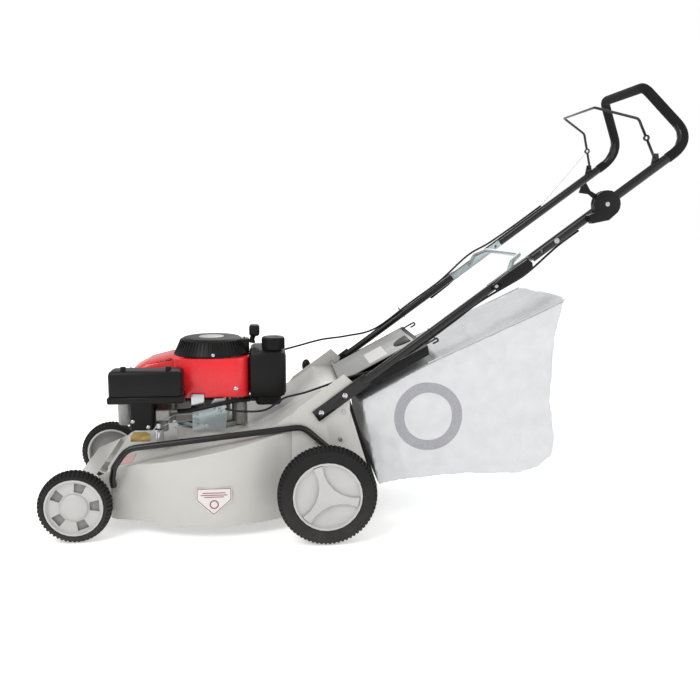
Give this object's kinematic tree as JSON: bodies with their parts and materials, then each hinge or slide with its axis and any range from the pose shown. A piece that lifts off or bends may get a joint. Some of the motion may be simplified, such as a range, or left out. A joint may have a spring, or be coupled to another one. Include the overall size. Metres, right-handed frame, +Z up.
{
  "type": "push lawn mower",
  "caption": "Petrol push lawn mower: steel deck, four wheels, top-mounted engine with recoil starter, folding tube handle with stop bail, and a rear fabric grass bag.",
  "frame": {"origin": "centre of the footprint on the ground plane", "axes": "+Z up; the front of the mower faces -X and the operator stands at +X; the operator's left is -Y"},
  "size_m": [1.4965, 0.643, 1.0464],
  "materials": {
    "deck_paint": "gloss",
    "red_plastic": "gloss",
    "black_plastic": "satin",
    "black_paint": "satin",
    "tyre_rubber": "matte",
    "rubber": "matte",
    "grey_plastic": "satin",
    "zinc": "galvanised",
    "steel": "machined",
    "cast_aluminium": "as cast",
    "flap_paint": "satin",
    "bag_fabric": "woven",
    "ceramic_white": "glazed"
  },
  "bodies": {
    "chassis": {"deck": "deck_paint", "side_rail_left": "black_paint", "side_rail_right": "black_paint", "handle_bracket_left": "deck_paint", "handle_bracket_right": "deck_paint", "crankcase": "cast_aluminium", "cylinder_head": "cast_aluminium", "valve_cover": "cast_aluminium", "spark_plug": "ceramic_white", "muffler": "steel", "air_filter_base": "black_plastic", "carburettor": "cast_aluminium", "control_plate": "zinc", "engine_shroud": "red_plastic", "recoil_cover": "black_plastic", "fuel_tank": "black_plastic", "fuel_hose": "rubber", "lower_handle_left": "black_paint", "lower_handle_right": "black_paint", "clamp_bolt_left": "zinc", "clamp_bolt_right": "zinc", "throttle_cable_lower": "rubber", "brake_cable_lower": "rubber"},
    "front_axle": {"front_axle": "steel"},
    "rear_axle": {"rear_axle": "steel", "height_lever": "black_plastic"},
    "height_link": {"height_link_rod": "zinc"},
    "wheel_front_left": {"tyre_front_left": "tyre_rubber", "rim_front_left": "grey_plastic", "hub_cap_front_left": "grey_plastic"},
    "wheel_front_right": {"tyre_front_right": "tyre_rubber", "rim_front_right": "grey_plastic", "hub_cap_front_right": "grey_plastic"},
    "wheel_rear_left": {"tyre_rear_left": "tyre_rubber", "rim_rear_left": "grey_plastic", "hub_cap_rear_left": "grey_plastic"},
    "wheel_rear_right": {"tyre_rear_right": "tyre_rubber", "rim_rear_right": "grey_plastic", "hub_cap_rear_right": "grey_plastic"},
    "drive": {"crankshaft": "steel", "flywheel": "cast_aluminium", "cutting_blade": "steel", "blade_bolt": "zinc"},
    "recoil_pulley": {"recoil_pulley": "black_plastic"},
    "starter_grip": {"starter_grip": "black_plastic"},
    "upper_handle": {"upper_handle": "black_paint", "handle_brace": "zinc", "throttle_housing": "black_plastic", "throttle_cable_upper": "rubber", "brake_cable_upper": "rubber"},
    "stop_bail": {"stop_bail": "black_paint"},
    "throttle_lever": {"throttle_lever": "black_plastic"},
    "cam_lever_left": {"cam_lever_left": "black_plastic"},
    "cam_lever_right": {"cam_lever_right": "black_plastic"},
    "rear_flap": {"rear_flap": "flap_paint"},
    "grass_bag": {"grass_bag": "bag_fabric", "bag_frame": "black_plastic"},
    "fuel_cap": {"fuel_cap": "black_plastic"},
    "dipstick": {"dipstick": "black_plastic"},
    "air_filter_cover": {"air_filter_cover": "black_plastic"}
  },
  "joints": [
    {"name": "height_adjust", "type": "hinge", "parent": "chassis", "child": "rear_axle", "pos_m": [-0.05325, 0, 0.1125], "axis": [0, 1, 0], "range_deg": [-20, 20]},
    {"name": "front_axle_lift", "type": "hinge", "parent": "chassis", "child": "front_axle", "pos_m": [-0.62075, 0, 0.0825], "axis": [0, 1, 0], "range_deg": [-20, 20]},
    {"name": "link_rod_pin", "type": "hinge", "parent": "rear_axle", "child": "height_link", "pos_m": [-0.04079, 0, 0.07449], "axis": [0, 1, 0], "range_deg": [-20, 20]},
    {"name": "wheel_spin_front_left", "type": "hinge", "parent": "front_axle", "child": "wheel_front_left", "pos_m": [-0.66575, -0.234, 0.0825], "axis": [0, 1, 0], "continuous": true},
    {"name": "wheel_spin_front_right", "type": "hinge", "parent": "front_axle", "child": "wheel_front_right", "pos_m": [-0.66575, 0.234, 0.0825], "axis": [0, 1, 0], "continuous": true},
    {"name": "wheel_spin_rear_left", "type": "hinge", "parent": "rear_axle", "child": "wheel_rear_left", "pos_m": [-0.09825, -0.2995, 0.1125], "axis": [0, 1, 0], "continuous": true},
    {"name": "wheel_spin_rear_right", "type": "hinge", "parent": "rear_axle", "child": "wheel_rear_right", "pos_m": [-0.09825, 0.2995, 0.1125], "axis": [0, 1, 0], "continuous": true},
    {"name": "crank_spin", "type": "hinge", "parent": "chassis", "child": "drive", "pos_m": [-0.367, 0, 0.062], "axis": [0, 0, 1], "continuous": true},
    {"name": "recoil_spin", "type": "hinge", "parent": "chassis", "child": "recoil_pulley", "pos_m": [-0.367, 0, 0.4088], "axis": [0, 0, 1], "range_deg": [0, 690]},
    {"name": "starter_pull", "type": "slide", "parent": "chassis", "child": "starter_grip", "axis": [0.8191, 0, 0.5736], "range_m": [0, 0.5]},
    {"name": "handle_fold", "type": "hinge", "parent": "chassis", "child": "upper_handle", "pos_m": [0.298, 0, 0.572], "axis": [0, 1, 0], "range_deg": [-130, 0]},
    {"name": "stop_bail_squeeze", "type": "hinge", "parent": "upper_handle", "child": "stop_bail", "pos_m": [0.672, 0, 0.8665], "axis": [0, 1, 0], "range_deg": [0, 34], "stiffness_Nm_per_rad": 0.5, "springref_deg": -34.38},
    {"name": "throttle_set", "type": "hinge", "parent": "upper_handle", "child": "throttle_lever", "pos_m": [0.548, -0.2274, 0.758], "axis": [0, 1, 0], "range_deg": [-10, 60]},
    {"name": "cam_lever_left_release", "type": "hinge", "parent": "chassis", "child": "cam_lever_left", "pos_m": [0.298, -0.2236, 0.572], "axis": [-0.5878, 0, 0.809], "range_deg": [-100, 0]},
    {"name": "cam_lever_right_release", "type": "hinge", "parent": "chassis", "child": "cam_lever_right", "pos_m": [0.298, 0.2236, 0.572], "axis": [-0.5878, 0, 0.809], "range_deg": [-100, 0]},
    {"name": "rear_flap_lift", "type": "hinge", "parent": "chassis", "child": "rear_flap", "pos_m": [-0.05, 0, 0.3335], "axis": [0, 1, 0], "range_deg": [-75, 0]},
    {"name": "bag_unhook", "type": "slide", "parent": "chassis", "child": "grass_bag", "axis": [0.8847, 0, 0.4662], "range_m": [0, 0.25]},
    {"name": "fuel_cap_turn", "type": "hinge", "parent": "chassis", "child": "fuel_cap", "pos_m": [-0.2135, -0.05, 0.4135], "axis": [0, 0, 1], "range_deg": [0, 120]},
    {"name": "dipstick_turn", "type": "hinge", "parent": "chassis", "child": "dipstick", "pos_m": [-0.337, 0.112, 0.2988], "axis": [0, 0.4961, 0.8682], "range_deg": [0, 90]},
    {"name": "air_filter_cover_lift", "type": "slide", "parent": "chassis", "child": "air_filter_cover", "axis": [0, 0, 1], "range_m": [0, 0.06]}
  ],
  "couplings": [
    {"joint": "front_axle_lift", "follows": "height_adjust", "ratio": 1},
    {"joint": "link_rod_pin", "follows": "height_adjust", "ratio": -1},
    {"joint": "starter_pull", "follows": "recoil_spin", "m_per_rad": 0.04}
  ]
}
